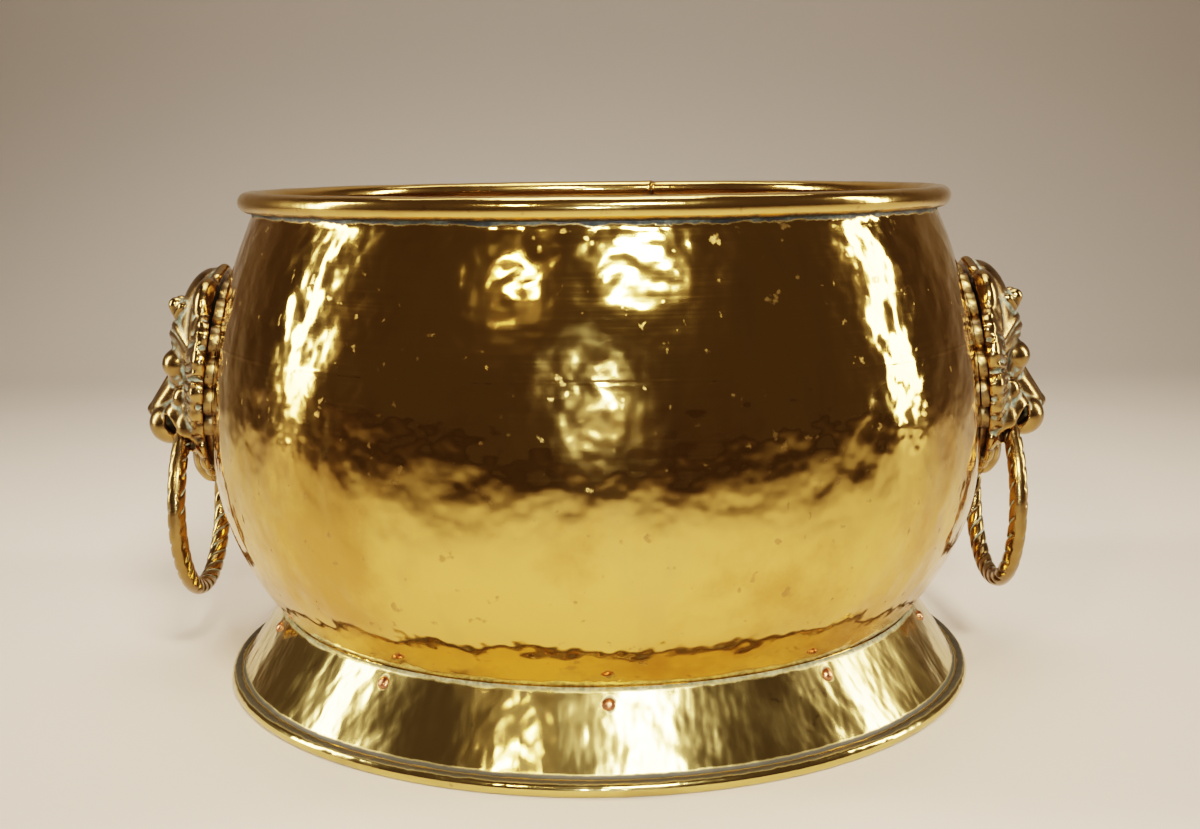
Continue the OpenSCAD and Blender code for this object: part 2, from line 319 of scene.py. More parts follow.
# %% Rim bead
GAP = 0.6 * MM / RIM_R
RIM_SIDES = 28
rim_outline = arc_points((RIM_R, RIM_Z), RIM_TUBE_R, 0, 360 - 360 / RIM_SIDES, RIM_SIDES)
rim_shape = spin_outline(rim_outline, 420, 2 * math.pi - GAP, RIM_JOINT + GAP / 2)
for v in rim_shape.verts:
    turn = math.atan2(v.co.y, v.co.x)
    centre = Vector((RIM_R * math.cos(turn), RIM_R * math.sin(turn), RIM_Z))
    out = (v.co - centre).normalized()
    past = (turn - RIM_JOINT) % (2 * math.pi)
    before = 2 * math.pi - past
    proud = 0.35 * MM * math.exp(-past / 0.05) - 0.3 * MM * math.exp(-before / 0.04)
    bumps = noise.noise(centre * 16) * 0.32 + noise.noise(v.co * 45) * 0.22
    v.co += out * (proud + bumps * MM * 0.8 - 0.15 * MM)
rim = finish_piece("rim_tube", rim_shape)
ride_with(rim, "pot", "rim_brass", "rim_bead")

# %% [markdown]
# ## The foot
#
# The foot is a cone of paler sheet whose lower edge is rolled outward round a
# wire. Its hammer marks run up and down, so they show as upright ripples.

# %% Foot skirt with its rolled edge
BEAD_R = 4 * MM
FOOT_SHEET = 1.5 * MM
bead_centre = (FOOT_R - BEAD_R, BEAD_R - 0.35 * MM)
top_in = shifted(shifted(waist, hem_down, 0.9 * MM), hem_out, 0.86 * MM)
low_in = (bead_centre[0] - BEAD_R * 0.85, bead_centre[1] + 1.5 * MM)
slope = Vector((low_in[0] - top_in[0], low_in[1] - top_in[1])).normalized()
square = Vector((-slope.y, slope.x)) * FOOT_SHEET
skirt = line_points(shifted(top_in, square, 1), shifted(low_in, square, 0.9), 20)
skirt += arc_points(bead_centre, BEAD_R, 128, -140, 20)
skirt += line_points((bead_centre[0] - BEAD_R * 1.02, bead_centre[1] - 0.4 * MM),
                     top_in, 20)
foot_shape = spin_outline(skirt, 432)
for v in foot_shape.verts:
    turn = math.atan2(v.co.y, v.co.x)
    flat = Vector((math.cos(turn), math.sin(turn), 0))
    up = fade((v.co.z - 7 * MM) / (9 * MM)) * fade((FOOT_TOP - v.co.z) / (13 * MM), 0.12)
    ripple = noise.noise(Vector((flat.x * 6.5, flat.y * 6.5, v.co.z * 6))) * 1.1
    ripple += noise.noise(Vector((flat.x * 15, flat.y * 15, v.co.z * 16 + 3))) * 0.5
    v.co += flat * ripple * up * MM * 0.75
    v.co.z = max(v.co.z, 0.0)
foot = finish_piece("foot_cone", foot_shape)
ride_with(foot, "pot", "foot_brass", "foot_skirt")

# %% [markdown]
# ## Rivets
#
# Ten copper rivets hold the foot. Each head starts as a ball and is
# flattened by the hammer, so no two are quite alike.

# %% Rivet heads
rivet_points = np.array([v.co for v in frame["nodes"]["foot_rivets"].data.vertices])
RIVET_COUNT = 10
RIVET_TURN = math.radians(270 + 1.4)
RIVET_CIRCLE = 0.200
RIVET_Z = 0.0383
RIVETS = random.Random(3)


def rivet_spot(k):
    """Middle of the outermost points of one rivet's head."""
    turn = RIVET_TURN + 2 * math.pi * k / RIVET_COUNT
    away = rivet_points[:, 0] * math.cos(turn) + rivet_points[:, 1] * math.sin(turn)
    across = -rivet_points[:, 0] * math.sin(turn) + rivet_points[:, 1] * math.cos(turn)
    mine = (away > 0.1) & (np.abs(across) < 0.008)
    spot = rivet_points[mine]
    return Vector(spot[np.argmax(away[mine] * 0.77 + spot[:, 2] * 0.64)]), turn


rivet_shape = bmesh.new()
skirt_out = square.normalized()
for k in range(RIVET_COUNT):
    tip, turn = rivet_spot(k)
    normal = Vector((skirt_out.x * math.cos(turn), skirt_out.x * math.sin(turn), skirt_out.y))
    facing = normal.to_track_quat("Z", "Y").to_matrix().to_4x4()
    wide = RIVETS.uniform(3.5, 3.9) * MM
    place = Matrix.Translation(tip - normal * 1.8 * MM) @ facing
    place = place @ Matrix.Rotation(RIVETS.uniform(0, 6), 4, "Z")
    place = place @ Matrix.Diagonal((wide, wide * RIVETS.uniform(0.92, 1), 2.3 * MM, 1))
    bmesh.ops.create_uvsphere(rivet_shape, u_segments=32, v_segments=20, radius=1, matrix=place)
for v in rivet_shape.verts:
    v.co += Vector((1, 1, 1)) * noise.noise(v.co * 420) * 0.16 * MM
rivets = finish_piece("rivet_heads", rivet_shape)
ride_with(rivets, "pot", "rivet_copper", "foot_rivets")

# %% [markdown]
# ## The lion masks
#
# A mask is built like wax on a plate. Balls and rows of balls stand for the
# curls, brows, nose and jowls. A voxel remesh melts them into one skin, the
# swinging ring is cut out of it, and a second remesh rounds the cut.

# %% Wax tools


def plain_ball(subdivisions):
    """A ball of radius one to copy from."""
    shape = bmesh.new()
    bmesh.ops.create_icosphere(shape, subdivisions=subdivisions, radius=1)
    return mesh_of("ball", shape)


SMALL_BALL = plain_ball(2)
LARGE_BALL = plain_ball(4)
LARGE_FROM = 6


def ball(wax, at, radii):
    """Adds an ellipsoid; at and radii are in millimetres."""
    place = Matrix.Translation(Vector(at) * MM)
    place = place @ Matrix.Diagonal((radii[0] * MM, radii[1] * MM, radii[2] * MM, 1))
    one = (LARGE_BALL if max(radii) > LARGE_FROM else SMALL_BALL).copy()
    one.transform(place)
    wax.from_mesh(one)
    bpy.data.meshes.remove(one)


def curve_through(points, t):
    """Point at t from 0 to 1 on a smooth curve through the given points."""
    place = t * (len(points) - 1)
    i = min(int(place), len(points) - 2)
    u = place - i
    a = Vector(points[max(i - 1, 0)])
    b = Vector(points[i])
    c = Vector(points[i + 1])
    d = Vector(points[min(i + 2, len(points) - 1)])
    bend = (a * -1 + c) * u + (a * 2 - b * 5 + c * 4 - d) * u ** 2
    bend += (a * -1 + b * 3 - c * 3 + d) * u ** 3
    return b + bend * 0.5


def curl(wax, points, start_r, end_r, count=14):
    """Adds a row of balls along a curve, from one radius to another."""
    for i in range(count):
        t = i / (count - 1)
        r = start_r + (end_r - start_r) * t
        at = curve_through(points, t)
        ball(wax, at, (r, r, r))


def hang(y, z, out):
    """Point over the wall in millimetres."""
    return tuple(on_wall(y * MM, z * MM, out * MM) / MM)


# %% Wax of the lion's head
wax = bmesh.new()
ball(wax, (231, 0, 194), (24, 33, 50))
ball(wax, (232, 0, 229), (13, 14.5, 14.5))
ball(wax, (236, 0, 158), (14, 33, 32))
# The crest is a smooth cap of combed locks, swept back and down both sides.
for k in range(-6, 7):
    fan = abs(k)
    side = 1 if k > 0 else -1
    top = hang(k * 2.3, 239.5 - fan * 0.75, 9.5)
    middle = hang(k * 4.6, 226 - fan * 0.9, 16.5 - fan * 0.35)
    low = hang(side * min(fan * 7, 41), 213 - fan * 1.6, 17.5 - fan * 0.9)
    curl(wax, [low, middle, top], 5.2, 4.2, 16)
for s in (-1, 1):
    ball(wax, hang(s * 22, 217, 8.5), (9.5, 21, 21))
    ball(wax, hang(s * 36, 205, 7.5), (8, 13, 15))
# A parted forelock stands up like a small horn.
for s in (-1, 1):
    curl(wax, [(247, s * 4, 212), (252, s * 5, 217), (253.5, s * 5.5, 222)], 4, 5.2, 8)
    curl(wax, [(249, s * 9, 214), (250, s * 14, 217), (246, s * 19, 222)], 4.2, 3.2, 8)
# Three rolls of hair arch over the brows.
for k, (out, high) in enumerate(((254.6, 209.5), (256.4, 204.2), (255.6, 198.8))):
    curl(wax, [(239, -30, high - 11), (249.5, -17, high - 1), (out, -5, high),
               (out, 5, high), (249.5, 17, high - 1), (239, 30, high - 11)], 3.1, 3.1, 44)
ball(wax, (247, 0, 204), (8, 19, 7))
for s in (-1, 1):
    # Brow, eye and the folds of the lids
    ball(wax, (249.8, s * 12.5, 187), (12.3, 12.5, 10.5))
    ball(wax, (252.5, s * 14, 178.5), (5, 5.5, 5))
    for k in range(3):
        drop = k * 2.6
        curl(wax, [(258 - k * 0.6, s * (5 + k), 180.5 - drop * 0.5),
                   (257.5 - k * 1.6, s * 14, 178.5 - drop),
                   (248 - k, s * (24 + k * 0.6), 182.5 - drop)], 1.5, 1.2, 22)
    # Jowl, the flap over the ring, and the cheek
    ball(wax, (259.2, s * 11.8, 150.6), (12.9, 13.2, 12.6))
    ball(wax, (247, s * 24, 156), (13, 12, 12.5))
    ball(wax, (242, s * 31, 150), (9, 9, 14))
    ball(wax, (245, s * 27, 168), (8, 9, 9))
    for k in range(3):
        curl(wax, [(252 - k * 3.4, s * (25 + k * 4), 171 + k),
                   (250.5 - k * 3.2, s * (29 + k * 3.5), 163),
                   (247 - k * 2.6, s * (31 + k * 3), 154 - k)], 1.8, 1.5, 14)
    # Nostril
    ball(wax, (268.5, s * 7.2, 156.8), (5.2, 4.6, 4.2))
# The nose is a broad straight bridge that ends in a blunt tip.
for i in range(16):
    t = i / 15
    ball(wax, (254.6 + 14.2 * t, 0, 180.5 - 22 * t), (6.2, 8.6 + t, 6.2))
    ball(wax, (250 + 13 * t, 0, 177 - 18 * t), (10, 14.5 + 2 * t, 10))
ball(wax, (270.2, 0, 157.6), (6.3, 8, 5.2))
# Mouth block, jaw and beard
ball(wax, (252, 0, 158), (13, 21, 10))
curl(wax, [(234, 0, 141), (247, 0, 141), (257, 0, 143.5)], 8, 7.2, 14)
curl(wax, [(243, 0, 133), (242, 0, 124), (238.5, 0, 119.5)], 7.5, 8.2, 12)
for s in (-1, 1):
    curl(wax, [(243, s * 6, 134), (244.5, s * 6.5, 126), (240.5, s * 3, 116.5)], 3.6, 2.6, 14)
print("wax of the head:", len(wax.verts), "points")

# %% [markdown]
# The mane is a ring of curls. Each is three balls that climb towards the face,
# with combed strands that turn towards its tip. The outer balls make the
# scalloped edge.

# %% Mane
MANE = random.Random(11)
FACE_Z = 187
# Each lock has its turn from the top in degrees, or its y and z, and its size.
LOCKS = ((66, 9.5), (84, 11), (105, 8.6), (121, 8.2), (137, 8.6), (153, 8.6))
LOW_LOCKS = ((31, 139, 8), (24, 130, 7.5), (14.5, 124, 7))


def strand(wax, y0, z0, y1, z1, r, out0, out1, swirl):
    """One combed strand from inside the mane to the tip of a curl."""
    side_y = (z1 - z0) * swirl
    side_z = -(y1 - y0) * swirl
    middle = hang((y0 + y1) / 2 + side_y, (z0 + z1) / 2 + side_z, (out0 + out1) / 2 + 2.2)
    curl(wax, [hang(y0, z0, out0), middle, hang(y1, z1, out1)], r, r * 0.7, 12)


for s in (-1, 1):
    for turn, size in LOCKS:
        t = math.radians(turn)
        y = s * (59.3 - size) * math.sin(t)
        z = FACE_Z + (55.3 - size) * math.cos(t)
        ball(wax, hang(y, z, 6.4 + MANE.uniform(-0.4, 0.5)), (7.2, size * 0.98, size * 0.96))
        ball(wax, hang(y * 0.84, FACE_Z + (z - FACE_Z) * 0.86, 9), (6.2, size * 0.8, size * 0.8))
        ball(wax, hang(y * 0.64, FACE_Z + (z - FACE_Z) * 0.70, 10.5),
             (6.2, size * 0.74, size * 0.74))
        for k in (-1, 0, 1):
            root = t + k * 0.1
            tip = t + k * 0.125
            strand(wax, s * 30 * math.sin(root), FACE_Z + 28 * math.cos(root),
                   s * (56.5 - abs(k)) * math.sin(tip), FACE_Z + (52.3 - abs(k)) * math.cos(tip),
                   2.4, 14.5, 10.6, 0.12 * s)
    for y, z, size in LOW_LOCKS:
        ball(wax, hang(s * (y - 1.5), z + 1, 6), (4.8, size, size))
        strand(wax, s * y * 0.55, z + 16, s * y, z - size * 0.45, 1.9, 8.5, 7.6, 0.1 * s)
print("wax with the mane:", len(wax.verts), "points")

# %% [markdown]
# ## Melt, cut and settle the mask
#
# The ring is swung through its whole travel to make the cutter, so the mouth
# ends up with exactly the room the ring needs.

# %% Remesh helpers


def settled(work):
    """The mesh of an object with its modifiers applied."""
    bpy.context.view_layer.update()
    ready = work.evaluated_get(bpy.context.evaluated_depsgraph_get())
    return bpy.data.meshes.new_from_object(ready)


def melt(work, voxel, smooth_times=0):
    """Melts everything in an object into one closed skin."""
    remesh = work.modifiers.new("melt", "REMESH")
    remesh.mode = "VOXEL"
    remesh.voxel_size = voxel
    if smooth_times:
        soften = work.modifiers.new("soften", "SMOOTH")
        soften.factor = 0.5
        soften.iterations = smooth_times
    mesh = settled(work)
    work.modifiers.clear()
    work.data = mesh


def ring_bar(radius, swing, steps, sides):
    """A plain ring of the right handle, swung outward by an angle in degrees."""
    shape = bmesh.new()
    bmesh.ops.create_circle(shape, segments=sides, radius=radius,
                            matrix=Matrix.Translation((RING_X, 0, PIVOT_Z))
                            @ Matrix.Rotation(math.radians(90), 4, "Y")
                            @ Matrix.Rotation(math.radians(90), 4, "X"))
    bmesh.ops.spin(shape, geom=shape.verts[:] + shape.edges[:], cent=(RING_X, 0, RING_Z),
                   axis=(1, 0, 0), angle=2 * math.pi, steps=steps, use_merge=True)
    bmesh.ops.rotate(shape, cent=(RING_X, 0, PIVOT_Z), verts=shape.verts,
                     matrix=Matrix.Rotation(math.radians(-swing), 3, "Y"))
    return shape


# %% Melt the wax and cut the room for the ring
CLEARANCE = 0.8 * MM
SWINGS = [-8 + 7.1 * k for k in range(13)]
clay = put_in_scene("clay", mesh_of("clay", wax))
melt(clay, 1.0 * MM)
room = bmesh.new()
for swing in SWINGS:
    swung = ring_bar(BAR_R + CLEARANCE, swing, 96, 20)
    bmesh.ops.recalc_face_normals(swung, faces=swung.faces)
    step = mesh_of("step", swung)
    room.from_mesh(step)
    bpy.data.meshes.remove(step)
cutter = put_in_scene("cutter", mesh_of("cutter", room))
melt(cutter, 1.1 * MM)
cut = clay.modifiers.new("cut", "BOOLEAN")
cut.operation = "DIFFERENCE"
cut.solver = "MANIFOLD"
cut.object = cutter
melt(clay, 0.86 * MM, 4)
bpy.data.objects.remove(cutter)
print("mask skin:", len(clay.data.polygons), "faces")

# %% [markdown]
# The back of the casting lies on its plate. Near the top it has lifted, which
# leaves the dark slit that shows from the side.

# %% Press the back flat


def back_of(z):
    """Distance from the wall to the back of the casting at a height."""
    return PLATE_OUT + (0.35 + 2.3 * fade((z - 0.196) / 0.040)) * MM


mask_shape = bmesh.new()
mask_shape.from_mesh(clay.data)
bpy.data.objects.remove(clay)
behind = [v for v in mask_shape.verts if depth_of(v.co)[0] < back_of(v.co.z) - 7 * MM]
bmesh.ops.delete(mask_shape, geom=behind, context="VERTS")
open_edges = [e for e in mask_shape.edges if e.is_boundary]
filled = bmesh.ops.holes_fill(mask_shape, edges=open_edges, sides=0)
bmesh.ops.triangulate(mask_shape, faces=filled["faces"])
for v in mask_shape.verts:
    deep, way = depth_of(v.co)
    least = back_of(v.co.z)
    if deep < least:
        v.co += way * (least - deep)
loose = [v for v in mask_shape.verts if not v.link_faces]
bmesh.ops.delete(mask_shape, geom=loose, context="VERTS")
mask_right = finish_piece("lion_right", mask_shape)
print("mask:", len(mask_right.data.polygons), "faces")

# %% [markdown]
# ## Hollows and high spots
#
# Comparing each point with a blurred copy of the surface tells hollows from
# high spots. The hollows get dirt, verdigris and painted shade, and hands
# polish the high spots.

# %% Measure the hollows


def rows_of(mesh, what):
    """Every vertex's place or normal, as rows of three numbers."""
    rows = np.empty(len(mesh.vertices) * 3)
    mesh.vertices.foreach_get(what, rows)
    return rows.reshape(-1, 3)


def hollows(mesh, rounds):
    """How far each vertex lies under its blurred surface, in millimetres."""
    count = len(mesh.vertices)
    where = rows_of(mesh, "co")
    normals = rows_of(mesh, "normal")
    ends = np.empty(len(mesh.edges) * 2, dtype=np.int64)
    mesh.edges.foreach_get("vertices", ends)
    a, b = ends.reshape(-1, 2).T
    shares = np.bincount(a, minlength=count) + np.bincount(b, minlength=count)
    blurred = where.copy()
    for _ in range(rounds):
        total = np.zeros_like(blurred)
        for axis in range(3):
            total[:, axis] += np.bincount(a, blurred[b, axis], minlength=count)
            total[:, axis] += np.bincount(b, blurred[a, axis], minlength=count)
        blurred = total / np.maximum(shares, 1)[:, None]
    return np.einsum("ij,ij->i", blurred - where, normals) / MM


def mark_hollows(piece, fine_rounds, broad_rounds):
    """Stores fine and broad hollows for the materials."""
    mark(piece.data, "fine_hollow", hollows(piece.data, fine_rounds))
    mark(piece.data, "broad_hollow", hollows(piece.data, broad_rounds))


mark_hollows(mask_right, 4, 28)
mask_left = other_side(mask_right, "lion_left")
ride_with(mask_right, "pot", "mask_brass", "mask_right")
ride_with(mask_left, "pot", "mask_brass", "mask_left")

# %% [markdown]
# ## The rings
#
# Each ring is a round bar with a shallow rope twist. Years of lifting have
# worn the twist smooth round the outside.

# %% Rope-twist rings
TURNS_ALONG = 34
STARTS = 3
bar = ring_bar(BAR_R - 0.02 * MM, 0, 612, 36)
ring_centre = Vector((RING_X, 0, RING_Z))
for v in bar.verts:
    arm = v.co - ring_centre
    along = math.atan2(arm.y, arm.z)
    spoke = Vector((0, math.sin(along), math.cos(along)))
    across = arm - spoke * RING_R
    round_bar = math.atan2(across.x, across.dot(spoke))
    phase = (TURNS_ALONG * along - STARTS * round_bar) / (2 * math.pi) % 1
    groove = math.exp(-((phase - 0.5) / 0.11) ** 2)
    valley = 0.5 - 0.5 * math.cos(2 * math.pi * phase)
    sharp = fade((abs(round_bar) - 0.45) / 0.6)
    depth = (groove * 0.85 + valley * 0.12) * sharp + 0.2 * (1 - sharp)
    depth += noise.noise(v.co * 90) * 0.16 + 0.1
    v.co -= across.normalized() * depth * MM
ring_right = finish_piece("rope_ring_right", bar)
mark_hollows(ring_right, 3, 12)
ring_left = other_side(ring_right, "rope_ring_left")
ride_with(ring_right, "right_ring", "ring_brass", "ring_right")
ride_with(ring_left, "left_ring", "ring_brass", "ring_left")

# %% [markdown]
# ## Back plates
#
# Each back plate keeps the measured shape. A merged copy gets filed edges.

# %% Back plates with filed edges


def softened_copy(node, name, edge):
    """A merged copy of a measured piece with small bevels on its edges."""
    shape = bmesh.new()
    shape.from_mesh(frame["nodes"][node].data)
    bmesh.ops.remove_doubles(shape, verts=shape.verts, dist=0.02 * MM)
    piece = finish_piece(name, shape)
    bevel = piece.modifiers.new("filed edge", "BEVEL")
    bevel.width = edge
    bevel.segments = 2
    bevel.limit_method = "ANGLE"
    bevel.angle_limit = math.radians(50)
    bevel.harden_normals = True
    return piece


for side_name in ("left", "right"):
    plate = softened_copy("backplate_" + side_name, "plate_" + side_name, 0.6 * MM)
    ride_with(plate, "pot", "plate_brass", "backplate_" + side_name)

# %% [markdown]
# ## Metals
#
# Shared patterns live in node groups. Each group gives back a colour, a mask or
# a height, and each material decides what to do with it.

# %% Node tools


def new_group(name, inputs, outputs):
    """An empty shader group with named sockets."""
    tree = bpy.data.node_groups.new(name, "ShaderNodeTree")
    for label, kind in inputs:
        tree.interface.new_socket(name=label, in_out="INPUT", socket_type=kind)
    for label, kind in outputs:
        tree.interface.new_socket(name=label, in_out="OUTPUT", socket_type=kind)
    return tree, tree.nodes.new("NodeGroupInput"), tree.nodes.new("NodeGroupOutput")


def math_node(tree, how, a, b=None, clamp=False):
    """A Math node; a and b are sockets or numbers."""
    sum_node = tree.nodes.new("ShaderNodeMath")
    sum_node.operation = how
    sum_node.use_clamp = clamp
    for i, value in enumerate((a, b)):
        if value is None:
            continue
        if isinstance(value, (int, float)):
            sum_node.inputs[i].default_value = value
        else:
            tree.links.new(value, sum_node.inputs[i])
    return sum_node.outputs[0]


def noise_node(tree, vector, scale, detail=3.0, rough=0.5):
    """A Noise Texture; gives back its value."""
    texture = tree.nodes.new("ShaderNodeTexNoise")
    texture.inputs["Scale"].default_value = scale
    texture.inputs["Detail"].default_value = detail
    texture.inputs["Roughness"].default_value = rough
    tree.links.new(vector, texture.inputs["Vector"])
    return texture.outputs["Fac"]


def stretch(tree, vector, scale):
    """The vector scaled differently along each axis."""
    mapping = tree.nodes.new("ShaderNodeMapping")
    mapping.inputs["Scale"].default_value = scale
    tree.links.new(vector, mapping.inputs["Vector"])
    return mapping.outputs["Vector"]


def ramp(tree, value, low, high):
    """A smooth step from 0 at low to 1 at high."""
    step = tree.nodes.new("ShaderNodeMapRange")
    step.interpolation_type = "SMOOTHSTEP"
    step.inputs["From Min"].default_value = low
    step.inputs["From Max"].default_value = high
    tree.links.new(value, step.inputs["Value"])
    return step.outputs["Result"]


def blend(tree, factor, a, b):
    """Mixes two colours; each is a socket or three numbers."""
    mix = tree.nodes.new("ShaderNodeMix")
    mix.data_type = "RGBA"
    tree.links.new(factor, mix.inputs["Factor"])
    for socket, value in ((mix.inputs[6], a), (mix.inputs[7], b)):
        if isinstance(value, tuple):
            socket.default_value = (*value, 1)
        else:
            tree.links.new(value, socket)
    return mix.outputs[2]


# %% Shared patterns
VECTOR = "NodeSocketVector"
VALUE = "NodeSocketFloat"


def hammer_group():
    """Planishing marks: overlapping flats as a height in metres."""
    tree, given, result = new_group("Hammer marks", [("Vector", VECTOR)], [("Height", VALUE)])
    where = given.outputs["Vector"]
    wobble = noise_node(tree, where, 30, 1.0)
    cells = tree.nodes.new("ShaderNodeTexVoronoi")
    cells.feature = "SMOOTH_F1"
    cells.inputs["Scale"].default_value = 46
    cells.inputs["Smoothness"].default_value = 0.7
    tree.links.new(where, cells.inputs["Vector"])
    flats = math_node(tree, "MULTIPLY", cells.outputs["Distance"], 0.0009)
    waves = math_node(tree, "MULTIPLY", wobble, 0.0013)
    small = math_node(tree, "MULTIPLY", noise_node(tree, where, 85, 1.0), 0.0006)
    total = math_node(tree, "ADD", math_node(tree, "ADD", flats, waves), small)
    tree.links.new(total, result.inputs["Height"])
    return tree


def scratch_group():
    """Fine polishing lines round the pot, with a few upright ones."""
    tree, given, result = new_group("Polishing lines", [("Vector", VECTOR)],
                                    [("Lines", VALUE), ("Upright", VALUE)])
    where = given.outputs["Vector"]
    round_lines = noise_node(tree, stretch(tree, where, (7, 7, 900)), 1, 3.0, 0.7)
    upright = noise_node(tree, stretch(tree, where, (420, 420, 14)), 1, 3.0, 0.7)
    tree.links.new(round_lines, result.inputs["Lines"])
    tree.links.new(upright, result.inputs["Upright"])
    return tree


def tarnish_group():
    """Cloudy brown tarnish and small spots."""
    tree, given, result = new_group("Tarnish", [("Vector", VECTOR)],
                                    [("Clouds", VALUE), ("Spots", VALUE), ("Streaks", VALUE)])
    where = given.outputs["Vector"]
    clouds = noise_node(tree, where, 9, 6.0, 0.62)
    spots = noise_node(tree, where, 140, 2.0, 0.5)
    streaks = noise_node(tree, stretch(tree, where, (34, 34, 4)), 1, 4.0, 0.6)
    tree.links.new(ramp(tree, clouds, 0.47, 0.68), result.inputs["Clouds"])
    tree.links.new(ramp(tree, spots, 0.66, 0.74), result.inputs["Spots"])
    tree.links.new(ramp(tree, streaks, 0.5, 0.72), result.inputs["Streaks"])
    return tree


def seam_group():
    """A ragged line round the pot, from a low to a high level, for dirt lines and painted shade
    lines.
    """
    tree, given, result = new_group("Seam dirt", [("Vector", VECTOR), ("Low", VALUE),
                                                  ("High", VALUE), ("Ragged", VALUE)],
                                    [("Mask", VALUE)])
    where = given.outputs["Vector"]
    apart = tree.nodes.new("ShaderNodeSeparateXYZ")
    tree.links.new(where, apart.inputs[0])
    jag = math_node(tree, "SUBTRACT", noise_node(tree, where, 75, 4.0, 0.7), 0.5)
    level = math_node(tree, "ADD", apart.outputs["Z"],
                      math_node(tree, "MULTIPLY", jag, given.outputs["Ragged"]))
    step = tree.nodes.new("ShaderNodeMapRange")
    step.interpolation_type = "SMOOTHSTEP"
    tree.links.new(level, step.inputs["Value"])
    tree.links.new(given.outputs["Low"], step.inputs["From Min"])
    tree.links.new(given.outputs["High"], step.inputs["From Max"])
    tree.links.new(step.outputs["Result"], result.inputs["Mask"])
    return tree


def verdigris_group():
    """Grey-green deposit colours, dry and powdery."""
    tree, given, result = new_group("Verdigris", [("Vector", VECTOR)],
                                    [("Color", "NodeSocketColor"), ("Patches", VALUE)])
    where = given.outputs["Vector"]
    speck = noise_node(tree, where, 380, 3.0, 0.6)
    patch = noise_node(tree, where, 60, 3.0, 0.6)
    tint = blend(tree, ramp(tree, speck, 0.38, 0.62), (0.13, 0.18, 0.14), (0.38, 0.42, 0.32))
    tree.links.new(tint, result.inputs["Color"])
    tree.links.new(ramp(tree, patch, 0.40, 0.62), result.inputs["Patches"])
    return tree


GROUPS = {"hammer": hammer_group(), "lines": scratch_group(), "tarnish": tarnish_group(),
          "seam": seam_group(), "verdigris": verdigris_group()}
print("groups:", sorted(GROUPS))

# %% [markdown]
# Every metal starts from the same frame: a Principled shader, the piece's own
# coordinates, and short ways to call a group or an attribute.

# %% A metal to build on


class Metal:
    """A material with its tree, its shader and a few short cuts."""

    def __init__(self, name, roughness=0.3, metallic=1.0):
        self.material = bpy.data.materials.new(name)
        self.material.use_nodes = True
        self.tree = self.material.node_tree
        self.shader = self.tree.nodes["Principled BSDF"]
        self.shader.inputs["Roughness"].default_value = roughness
        self.shader.inputs["Metallic"].default_value = metallic
        self.where = self.tree.nodes.new("ShaderNodeTexCoord").outputs["Object"]

    def op(self, how, a, b=None, clamp=False):
        """A sum of two values; times and plus are short for the usual ones."""
        return math_node(self.tree, how, a, b, clamp)

    def times(self, a, b, clamp=False):
        return self.op("MULTIPLY", a, b, clamp)

    def plus(self, a, b, clamp=False):
        return self.op("ADD", a, b, clamp)

    def mix(self, factor, a, b):
        return blend(self.tree, factor, a, b)

    def step(self, value, low, high):
        return ramp(self.tree, value, low, high)

    def noise(self, scale, detail=3.0, rough=0.5):
        return noise_node(self.tree, self.where, scale, detail, rough)

    def stretched_noise(self, scale):
        return noise_node(self.tree, stretch(self.tree, self.where, scale), 1, 2.0)

    def axes(self):
        """The piece's own X, Y and Z, apart."""
        node = self.tree.nodes.new("ShaderNodeSeparateXYZ")
        self.tree.links.new(self.where, node.inputs[0])
        return node.outputs

    def group(self, name, **values):
        node = self.tree.nodes.new("ShaderNodeGroup")
        node.node_tree = GROUPS[name]
        self.tree.links.new(self.where, node.inputs["Vector"])
        for label, value in values.items():
            node.inputs[label].default_value = value
        return node.outputs

    def attribute(self, name):
        node = self.tree.nodes.new("ShaderNodeAttribute")
        node.attribute_name = name
        return node.outputs["Fac"]

    def to(self, label, value):
        """Feeds a value into the shader."""
        self.tree.links.new(value, self.shader.inputs[label])

    def bump(self, height, strength=1.0):
        node = self.tree.nodes.new("ShaderNodeBump")
        node.inputs["Strength"].default_value = strength
        node.inputs["Distance"].default_value = 1.0
        self.tree.links.new(height, node.inputs["Height"])
        self.tree.links.new(node.outputs["Normal"], self.shader.inputs["Normal"])

    def on(self, *pieces):
        for piece in pieces:
            piece.data.materials.clear()
            piece.data.materials.append(self.material)
        print(self.material.name, "on", [piece.name for piece in pieces])


# %% [markdown]
# The sheet is polished, so the hammer marks show mostly in what it reflects.
# Cloudy tarnish deepens the colour, and under the rim sits a dark band of
# painted shade flecked with verdigris crust.

# %% Polished sheet brass of the body
body = Metal("body brass", roughness=0.12)
hammer = body.group("hammer")["Height"]
lines = body.group("lines")
tarnish = body.group("tarnish")
# Just under the rim a thin dark band is painted shade, flecked with verdigris crust.
rim_shade_and_crust = body.group("seam", Low=0.2755, High=0.2769, Ragged=0.006)["Mask"]
green = body.group("verdigris")
gold = body.mix(tarnish["Clouds"], (0.80, 0.51, 0.14), (0.56, 0.31, 0.075))
gold = body.mix(body.times(tarnish["Streaks"], 0.35), gold, (0.58, 0.38, 0.13))
gold = body.mix(body.times(tarnish["Spots"], 0.55), gold, (0.34, 0.19, 0.07))
old = body.mix(tarnish["Clouds"], (0.36, 0.25, 0.10), (0.17, 0.11, 0.05))
gold = body.mix(body.attribute("inside"), gold, old)
